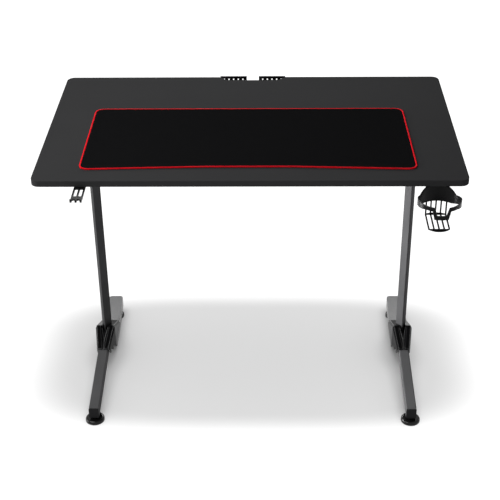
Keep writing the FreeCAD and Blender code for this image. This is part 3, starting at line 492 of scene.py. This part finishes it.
def range_node(tree, value, from_low, from_high, to_low=0.0, to_high=1.0, smooth=False):
    """A value carried from one range to another, and held at its ends."""
    node = tree.nodes.new("ShaderNodeMapRange")
    if smooth:
        node.interpolation_type = "SMOOTHSTEP"
    node.inputs["From Min"].default_value = from_low
    node.inputs["From Max"].default_value = from_high
    node.inputs["To Min"].default_value = to_low
    node.inputs["To Max"].default_value = to_high
    tree.links.new(value, node.inputs["Value"])
    return node.outputs["Result"]


def tint(tree, factor, dark, light):
    """A colour that runs from dark to light with a noise."""
    return ramp_node(tree, factor, NOISE_LOW, (*dark, 1), NOISE_HIGH, (*light, 1))


def spread(tree, factor, low, high):
    """A value that runs from low to high with a noise."""
    return range_node(tree, factor, NOISE_LOW, NOISE_HIGH, low, high)


def scaled(shade, share):
    return [channel * share for channel in shade]


def rounded_normal(tree, radius, samples):
    """The normal on edges that the shader softens by a radius."""
    node = tree.nodes.new("ShaderNodeBevel")
    node.samples = samples
    node.inputs["Radius"].default_value = radius
    return node.outputs["Normal"]


def bumped(tree, height, distance, edge=None):
    """A normal from a height, on softened edges where a radius is given."""
    node = tree.nodes.new("ShaderNodeBump")
    node.inputs["Distance"].default_value = distance
    node.inputs["Strength"].default_value = 1.0
    tree.links.new(height, node.inputs["Height"])
    if edge:
        tree.links.new(rounded_normal(tree, edge, samples=4), node.inputs["Normal"])
    return node.outputs["Normal"]


def edge_mask(tree, radius):
    """One along a faceted piece's edges and nothing on its faces, from a rounded normal's turn."""
    soft = rounded_normal(tree, radius, samples=6)
    flat = tree.nodes.new("ShaderNodeNewGeometry").outputs["Normal"]
    turn = vector_node(tree, "DOT_PRODUCT", soft, flat)["Value"]
    return range_node(tree, turn, FACE_TURN, EDGE_TURN)


def grained(name, shade, roughness, scale, depth, edge, specular, vary=0.12, polish=None):
    """Paint, foil or moulded plastic: a colour that drifts, a fine grain, and polished edges."""
    material, tree, shader, place = principled(name)
    grain = placed_group(tree, grain_group(), place, Scale=scale)
    drift = tint(tree, grain.outputs["Cloud"], scaled(shade, 1 - vary), scaled(shade, 1 + vary))
    tree.links.new(drift, shader.inputs["Base Color"])
    smoother, rougher = roughness * (1 - ROUGHNESS_DRIFT), roughness * (1 + ROUGHNESS_DRIFT)
    rough = spread(tree, grain.outputs["Height"], smoother, rougher)
    tree.links.new(rough, shader.inputs["Roughness"])
    normal = bumped(tree, grain.outputs["Height"], depth, edge)
    tree.links.new(normal, shader.inputs["Normal"])
    shader.inputs["Specular IOR Level"].default_value = specular
    if polish:
        tree.links.new(edge_mask(tree, polish), shader.inputs["Coat Weight"])
        shader.inputs["Coat Roughness"].default_value = POLISH_ROUGHNESS
        shader.inputs["Coat IOR"].default_value = POLISH_IOR
    return material


def zinc_plate(shade):
    """Bright zinc plating with a faint brushed drift."""
    material, tree, shader, place = principled("zinc_plate")
    grain = placed_group(tree, grain_group(), place, Scale=900.0, Cloud_Scale=160.0)
    drift = tint(tree, grain.outputs["Cloud"], scaled(shade, 0.85), shade)
    tree.links.new(drift, shader.inputs["Base Color"])
    tree.links.new(spread(tree, grain.outputs["Height"], 0.28, 0.4), shader.inputs["Roughness"])
    shader.inputs["Metallic"].default_value = 1.0
    return material


def mat_face(shade):
    """Black woven cloth without gloss, with painted shade that darkens the gaps between its threads."""
    material, tree, shader, place = principled("mat_face")
    weave = placed_group(tree, weave_group(), place)
    grain = placed_group(tree, grain_group(), place, Scale=4000.0, Cloud_Scale=14.0)
    # Painted shade: the cloth's colour falls to half in the gaps between its threads
    woven = tint(tree, weave.outputs["Gap"], shade, scaled(shade, 0.5))
    tree.links.new(woven, shader.inputs["Base Color"])
    tree.links.new(spread(tree, grain.outputs["Cloud"], 0.82, 0.92), shader.inputs["Roughness"])
    tree.links.new(bumped(tree, weave.outputs["Height"], 0.00012), shader.inputs["Normal"])
    shader.inputs["Specular IOR Level"].default_value = 0.0
    return material


def thread_red(shade):
    """Polyester thread with fine filaments."""
    material, tree, shader, place = principled("thread_red")
    grain = placed_group(tree, grain_group(), place, Scale=6000.0, Cloud_Scale=700.0)
    drift = tint(tree, grain.outputs["Cloud"], scaled(shade, 0.85), shade)
    tree.links.new(drift, shader.inputs["Base Color"])
    tree.links.new(spread(tree, grain.outputs["Height"], 0.5, 0.7), shader.inputs["Roughness"])
    tree.links.new(bumped(tree, grain.outputs["Height"], 0.00006), shader.inputs["Normal"])
    shader.inputs["Specular IOR Level"].default_value = 0.02
    return material


def dress(names, material):
    """Put one material on packed solids."""
    for name in names:
        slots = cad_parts[name].data.materials
        slots.clear()
        slots.append(material)


class DESK_OT_worktop(bpy.types.Operator):
    """Foil-covered worktop"""

    bl_idname = "desk.worktop"
    bl_label = "Worktop"

    def execute(self, context):
        finishes = context.scene.desk_finishes
        dress(["desktop"], grained(
            "worktop_foil", finishes.worktop, roughness=0.6, scale=1300.0, depth=0.00005,
            edge=0.0012, specular=0.003, vary=0.02))
        return {"FINISHED"}


class DESK_OT_mat(bpy.types.Operator):
    """Cloth mouse mat with its overlocked edge"""

    bl_idname = "desk.mat"
    bl_label = "Mouse mat"

    def execute(self, context):
        finishes = context.scene.desk_finishes
        cloth = mat_cloth()
        cloth.data.materials.append(mat_face(finishes.cloth))
        thread = thread_red(finishes.thread)
        stitches = overlock_stitches()
        chain = looper_thread()
        for piece in (stitches, chain):
            piece.data.materials.append(thread)
        for piece in (cloth, stitches, chain):
            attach(piece, BODY)
        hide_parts("mouse_mat")
        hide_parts("mat_binding")
        return {"FINISHED"}


class DESK_OT_frame(bpy.types.Operator):
    """Powder-coated posts, feet, rails and beams"""

    bl_idname = "desk.frame"
    bl_label = "Steel frame"

    def execute(self, context):
        finishes = context.scene.desk_finishes
        upper = [f"{end}_cross_beam" for end in ENDS]
        for side in SIDES:
            upper += [f"{side}_{name}" for name in ("column", "column_plate", "top_rail")]
        dress(upper, grained(
            "powder_coat", finishes.steel, roughness=0.55, scale=1800.0, depth=0.00003,
            edge=0.0012, specular=0.003))
        # Front and rear feet take the lighter feet colour, painted light on a copy of the posts' powder coat
        dress([f"{side}_front_foot" for side in SIDES], grained(
            "bar_coat_painted_light", finishes.feet, roughness=0.5, scale=1800.0, depth=0.00003,
            edge=0.0015, specular=0.004))
        dress([f"{side}_rear_foot" for side in SIDES], grained(
            "foot_coat_painted_light", finishes.feet, roughness=0.28, scale=1800.0, depth=0.00003,
            edge=0.0015, specular=0.28))
        return {"FINISHED"}


class DESK_OT_boots(bpy.types.Operator):
    """Faceted plastic boots at the feet of the posts"""

    bl_idname = "desk.boots"
    bl_label = "Boots"

    def execute(self, context):
        finishes = context.scene.desk_finishes
        pieces = [f"{side}_{half}_boot" for side in SIDES for half in ("inner", "outer")]
        dress(pieces, grained(
            "boot_plastic", finishes.boot, roughness=0.2, scale=2600.0, depth=0.00002,
            edge=0.0024, specular=0.015, polish=0.0024))
        return {"FINISHED"}


class DESK_OT_fittings(bpy.types.Operator):
    """Cup holder, headphone hook, cable trays, end caps and round feet"""

    bl_idname = "desk.fittings"
    bl_label = "Fittings"

    def execute(self, context):
        finishes = context.scene.desk_finishes
        pieces = ["cup_holder", "headphone_hook"]
        pieces += [f"{side}_cable_tray" for side in SIDES]
        dress(pieces, grained(
            "fitting_plastic", finishes.fitting, roughness=0.24, scale=2200.0, depth=0.00002,
            edge=0.0009, specular=0.07))
        dress([f"{side}_front_end_cap" for side in SIDES], grained(
            "cap_plastic", finishes.cap, roughness=0.45, scale=2200.0, depth=0.00002,
            edge=0.0009, specular=0.05))
        pads = [f"{end}_{side}_foot_pad" for end in ENDS for side in SIDES]
        dress(pads, grained(
            "pad_plastic", finishes.pad, roughness=0.1, scale=3000.0, depth=0.000004,
            edge=0.0005, specular=0.22))
        return {"FINISHED"}


class DESK_OT_fasteners(bpy.types.Operator):
    """Plated screws, bolts, nuts and stems"""

    bl_idname = "desk.fasteners"
    bl_label = "Fasteners"

    def execute(self, context):
        finishes = context.scene.desk_finishes
        pieces = [f"{place}_screws" for place in ("rail", "cup_holder", "hook", "tray")]
        pieces += ["plate_bolts", "beam_bolts", "foot_nuts"]
        pieces += [f"{end}_{side}_foot_stem" for end in ENDS for side in SIDES]
        dress(pieces, zinc_plate(finishes.zinc))
        return {"FINISHED"}


# Studio
def placed_lamp(data, place, target):
    """A lamp's object at a place, with its -Z turned to a target."""
    lamp = bpy.data.objects.new(data.name, data)
    look = (Vector(target) - Vector(place)).to_track_quat("-Z", "Y").to_matrix().to_4x4()
    lamp.matrix_world = Matrix.Translation(place) @ look
    bpy.context.scene.collection.objects.link(lamp)
    return lamp


def soft_box(name, watts, place, target, width, height):
    """A lit rectangle that faces a target."""
    data = bpy.data.lights.new(name, "AREA")
    data.shape = "RECTANGLE"
    data.size = width
    data.size_y = height
    data.energy = watts
    return placed_lamp(data, place, target)


def wide_sun(name, level, cone, travel):
    """Even light that travels one way, out of a cone of the given angle."""
    data = bpy.data.lights.new(name, "SUN")
    data.energy = level
    data.angle = math.radians(cone)
    return placed_lamp(data, (0, 0, 0), travel)


def gathered(name, things):
    """A collection of objects for light linking."""
    collection = bpy.data.collections.new(name)
    for thing in things:
        collection.objects.link(thing)
    return collection


def link_light(lamp, things, state):
    """Keep a lamp's light off some objects, or on them alone."""
    receivers = gathered(f"{lamp.name}_link", things)
    for member in receivers.collection_objects:
        member.light_linking.link_state = state
    lamp.light_linking.receiver_collection = receivers


def shade_from(lamp, things):
    """Let only some objects stop a lamp's light."""
    lamp.light_linking.blocker_collection = gathered(f"{lamp.name}_shade", things)


def set_camera():
    """The camera, from yaw, pitch and roll: the roll turns right and up about the line of sight."""
    studio = bpy.context.scene.desk_studio
    sight = Vector((
        -math.sin(studio.yaw) * math.cos(studio.pitch),
        math.cos(studio.yaw) * math.cos(studio.pitch),
        -math.sin(studio.pitch),
    ))
    level = Vector((math.cos(studio.yaw), math.sin(studio.yaw), 0))
    upward = level.cross(sight)
    right = math.cos(studio.roll) * level + math.sin(studio.roll) * upward
    up = math.cos(studio.roll) * upward - math.sin(studio.roll) * level
    data = bpy.data.cameras.new("camera")
    data.sensor_fit = "HORIZONTAL"
    data.sensor_width = SENSOR_WIDTH
    data.lens = studio.lens
    data.clip_end = SIGHT_END
    camera = bpy.data.objects.new("camera", data)
    turn = Matrix((right, up, -sight)).transposed().to_4x4()
    camera.matrix_world = Matrix.Translation(studio.eye) @ turn
    bpy.context.scene.collection.objects.link(camera)
    bpy.context.scene.camera = camera


def seen_ray(tree):
    """One for rays from the camera, from reflections and through clear pieces, and else nothing."""
    path = tree.nodes.new("ShaderNodeLightPath")
    seen = math_node(tree, "MAXIMUM", path.outputs["Is Camera Ray"], path.outputs["Is Glossy Ray"])
    return math_node(tree, "MAXIMUM", seen, path.outputs["Is Transmission Ray"])


def floor_plane():
    """A pale floor that takes the shadows and, where it is seen, adds a light of its own.

    That light is lower in a field about the legs, a painted shadow of the desk. With x and y counted
    in half sizes of that field, the light grows as the root of x^4 + y^4 goes from the field's start
    to its end, which rounds the field's corners."""
    studio = bpy.context.scene.desk_studio
    steps = np.linspace(-FLOOR_HALF, FLOOR_HALF, 3)
    flat = np.stack([*np.meshgrid(steps, steps), np.zeros((3, 3))], axis=-1)
    floor = mesh_object("floor", flat, grid_faces(3, 3).tolist())
    material = bpy.data.materials.new("floor_white")
    material.use_nodes = True
    tree = material.node_tree
    tree.nodes.clear()
    diffuse = tree.nodes.new("ShaderNodeBsdfDiffuse")
    diffuse.inputs["Color"].default_value = FLOOR_COLOUR
    glow = tree.nodes.new("ShaderNodeEmission")
    field = tree.nodes.new("ShaderNodeMapping")
    field.vector_type = "TEXTURE"
    field.inputs["Location"].default_value = SHADOW_FIELD_MIDDLE
    field.inputs["Scale"].default_value = SHADOW_FIELD_HALF
    place = tree.nodes.new("ShaderNodeTexCoord").outputs["Object"]
    tree.links.new(place, field.inputs["Vector"])
    shares = field.outputs["Vector"]
    squares = vector_node(tree, "MULTIPLY", shares, shares)["Vector"]
    away = vector_node(tree, "LENGTH", squares)["Value"]
    # Painted shadow: the floor's own light is low in the field about the legs and grows beyond it
    own = range_node(
        tree, away, SHADOW_FIELD_START, SHADOW_FIELD_END, studio.floor, studio.floor_far, smooth=True)
    tree.links.new(math_node(tree, "MULTIPLY", seen_ray(tree), own), glow.inputs["Strength"])
    both = tree.nodes.new("ShaderNodeAddShader")
    output = tree.nodes.new("ShaderNodeOutputMaterial")
    tree.links.new(diffuse.outputs["BSDF"], both.inputs[0])
    tree.links.new(glow.outputs["Emission"], both.inputs[1])
    tree.links.new(both.outputs["Shader"], output.inputs["Surface"])
    floor.data.materials.append(material)
    return floor


def set_world():
    """Surroundings that look white, a little darker overhead, and light the desk only faintly."""
    studio = bpy.context.scene.desk_studio
    world = bpy.data.worlds.new("surroundings")
    bpy.context.scene.world = world
    world.use_nodes = True
    tree = world.node_tree
    tree.nodes.clear()
    direction = tree.nodes.new("ShaderNodeTexCoord").outputs["Generated"]
    split = tree.nodes.new("ShaderNodeSeparateXYZ")
    tree.links.new(direction, split.inputs[0])
    shade = ramp_node(tree, split.outputs["Z"], SKY_LOW, WHITE, SKY_HIGH, OVERHEAD)
    level = math_node(tree, "MULTIPLY_ADD", seen_ray(tree), 1 - studio.sky, studio.sky)
    back = tree.nodes.new("ShaderNodeBackground")
    output = tree.nodes.new("ShaderNodeOutputWorld")
    tree.links.new(shade, back.inputs["Color"])
    tree.links.new(level, back.inputs["Strength"])
    tree.links.new(back.outputs["Background"], output.inputs["Surface"])


class DESK_OT_studio(bpy.types.Operator):
    """White floor, lamps, surroundings and camera"""

    bl_idname = "desk.studio"
    bl_label = "Studio"

    def execute(self, context):
        studio = context.scene.desk_studio
        context.scene.view_settings.view_transform = "Standard"
        set_world()
        floor = floor_plane()
        top = soft_box("lamp_top", studio.top, **TOP_BOX)
        back = soft_box("lamp_back", studio.back, **BACK_PANEL)
        side = wide_sun("lamp_side", studio.side, SIDE_CONE, SIDE_TRAVEL)
        under = soft_box("lamp_under", studio.under, **UNDER_BOX)
        under.visible_camera = False
        for lamp in (top, back, side, under):
            link_light(lamp, [floor], "EXCLUDE")
        key = wide_sun("lamp_floor", studio.floor_key, KEY_CONE, FLOOR_TRAVEL)
        fill = wide_sun("lamp_dome", studio.floor_fill, DOME_CONE, FLOOR_TRAVEL)
        for lamp in (key, fill):
            link_light(lamp, [floor], "INCLUDE")
        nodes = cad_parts
        shade_from(key, [nodes[name] for name in nodes if name.endswith(SHADING_ENDINGS)])
        set_camera()
        return {"FINISHED"}


class DESK_PT_panel(bpy.types.Panel):
    """Desk pieces and settings in the sidebar"""

    bl_idname = "DESK_PT_panel"
    bl_label = "Gaming Desk"
    bl_space_type = "VIEW_3D"
    bl_region_type = "UI"
    bl_category = "Desk"

    def draw(self, context):
        for operator in OPERATORS:
            self.layout.operator(operator.bl_idname)
        for name, settings in SETTINGS.items():
            box = self.layout.box()
            box.label(text=settings.__doc__)
            for prop in settings.__annotations__:
                box.prop(getattr(context.scene, name), prop)


OPERATORS = (
    DESK_OT_worktop, DESK_OT_mat, DESK_OT_frame, DESK_OT_boots, DESK_OT_fittings,
    DESK_OT_fasteners, DESK_OT_studio,
)
SETTINGS = {"desk_finishes": DeskFinishes, "desk_mat": DeskMat, "desk_studio": DeskStudio}
CLASSES = (*SETTINGS.values(), *OPERATORS, DESK_PT_panel)


def register():
    for cls in CLASSES:
        bpy.utils.register_class(cls)
    for name, settings in SETTINGS.items():
        setattr(bpy.types.Scene, name, PointerProperty(type=settings))


def unregister():
    for name in SETTINGS:
        delattr(bpy.types.Scene, name)
    for cls in reversed(CLASSES):
        bpy.utils.unregister_class(cls)


def main():
    register()
    for operator in OPERATORS:
        getattr(bpy.ops.desk, operator.bl_idname.split(".")[1])()


if __name__ == "__main__":
    main()
